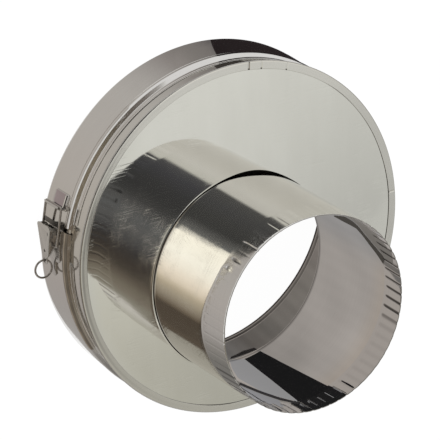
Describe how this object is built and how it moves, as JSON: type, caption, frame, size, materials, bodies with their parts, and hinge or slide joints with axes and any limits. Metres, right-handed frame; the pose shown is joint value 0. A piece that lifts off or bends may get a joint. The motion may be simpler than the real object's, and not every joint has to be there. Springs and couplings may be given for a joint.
{
  "type": "flue pipe reducer",
  "caption": "Round insulated steel flue reducer with a hemmed face plate, an eccentric crimped spigot pipe, and a split locking band closed by a lever latch.",
  "frame": {"origin": "centre of the inner liner's rear mouth, on the casing's axis", "axes": "+Z along the flue towards the spigot; the spigot's axis is offset towards -Y; the latch is near -X"},
  "size_m": [0.2788, 0.264, 0.1536],
  "materials": {
    "casing_steel": "bright rolled stainless sheet",
    "plate_steel": "bright rolled stainless sheet, lightly scuffed",
    "spigot_steel": "bright rolled stainless sheet",
    "liner_steel": "bright rolled stainless sheet",
    "band_steel": "bright rolled stainless sheet",
    "latch_steel": "pressed stainless steel",
    "wire_steel": "drawn stainless wire",
    "mineral_wool": "packed mineral wool"
  },
  "bodies": {
    "root": {"outer_casing": "casing_steel", "face_plate": "plate_steel", "inner_liner": "liner_steel", "transition_plate": "liner_steel", "rear_end_ring": "liner_steel", "insulation": "mineral_wool", "spigot_pipe": "spigot_steel", "locking_band": "band_steel", "band_strap": "band_steel", "latch_base": "latch_steel", "latch_keeper": "latch_steel", "lever_pin": "latch_steel"},
    "lever": {"latch_lever": "latch_steel"},
    "bail": {"latch_bail": "wire_steel"},
    "ring": {"pull_ring": "wire_steel"}
  },
  "joints": [
    {"name": "lever_hinge", "type": "hinge", "parent": "root", "child": "lever", "pos_m": [-0.13302, 0.0265, 0.012], "axis": [0, 0, -1], "range_deg": [0, 85]},
    {"name": "bail_swing", "type": "hinge", "parent": "lever", "child": "bail", "pos_m": [-0.13398, 0.01642, 0.012], "axis": [0, 0, -1], "range_deg": [-56, 0]},
    {"name": "ring_swing", "type": "hinge", "parent": "lever", "child": "ring", "pos_m": [-0.13756, 0.0042, 0.012], "axis": [0, 0, -1], "range_deg": [-1, 24]}
  ],
  "couplings": [
    {"joint": "bail_swing", "follows": "lever_hinge", "ratio": -0.65}
  ]
}
